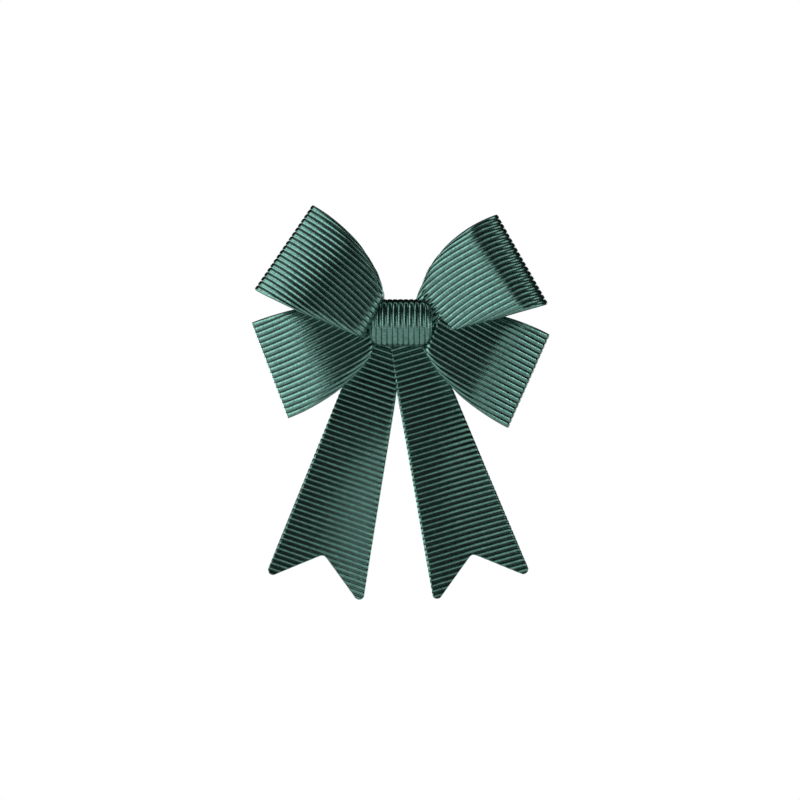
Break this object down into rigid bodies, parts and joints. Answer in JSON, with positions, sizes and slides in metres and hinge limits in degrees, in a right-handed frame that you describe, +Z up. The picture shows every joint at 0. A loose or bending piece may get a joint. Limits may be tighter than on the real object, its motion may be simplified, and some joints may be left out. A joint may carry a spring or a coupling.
{
  "type": "gift bow",
  "caption": "Ready-made ribbon gift bow with open loops, a wrapped knot and fishtail tails, held on by a twist tie or a glue dot at its back.",
  "frame": {"origin": "centre of the flat back face of the patch, behind the middle of the knot", "axes": "+Z up, from the tails' tips to the upper loops; +X to the right as seen from the front; +Y towards the parcel that the bow is fixed to"},
  "size_m": [0.1202, 0.0275, 0.1577],
  "materials": {
    "ribbon": "ribbed satin",
    "patch": "matt woven",
    "thread": "satin thread",
    "glue": "clear hot-melt glue",
    "tie_strip": "satin",
    "tie_wire": "drawn wire"
  },
  "bodies": {
    "bow": {"upper_left_loop": "ribbon", "upper_right_loop": "ribbon", "lower_left_loop": "ribbon", "lower_right_loop": "ribbon", "left_tail_root": "ribbon", "right_tail_root": "ribbon", "waist_binding": "thread", "knot_wrap": "ribbon", "wrap_glue": "glue", "tail_glue": "glue", "back_patch": "patch", "patch_glue": "glue", "tie_middle": "tie_strip", "tie_middle_wire": "tie_wire"},
    "left_tail": {"left_tail": "ribbon"},
    "right_tail": {"right_tail": "ribbon"},
    "tie_left": {"tie_left_leg": "tie_strip", "tie_left_wire": "tie_wire"},
    "tie_right": {"tie_right_leg": "tie_strip", "tie_right_wire": "tie_wire"}
  },
  "joints": [
    {"name": "left_tail_bend", "type": "hinge", "parent": "bow", "child": "left_tail", "pos_m": [-0.01347, -0.0029, -0.0289], "axis": [0.9632, 0, -0.2689], "range_deg": [-35, 60], "stiffness_Nm_per_rad": 0.03},
    {"name": "right_tail_bend", "type": "hinge", "parent": "bow", "child": "right_tail", "pos_m": [0.00937, -0.004, -0.02878], "axis": [0.9593, 0, 0.2823], "range_deg": [-35, 60], "stiffness_Nm_per_rad": 0.03},
    {"name": "tie_left_bend", "type": "hinge", "parent": "bow", "child": "tie_left", "pos_m": [-0.0134, -0.0016, 0], "axis": [0, 0, -1], "range_deg": [0, 100]},
    {"name": "tie_right_bend", "type": "hinge", "parent": "bow", "child": "tie_right", "pos_m": [0.0134, -0.0016, 0], "axis": [0, 0, 1], "range_deg": [0, 100]}
  ]
}
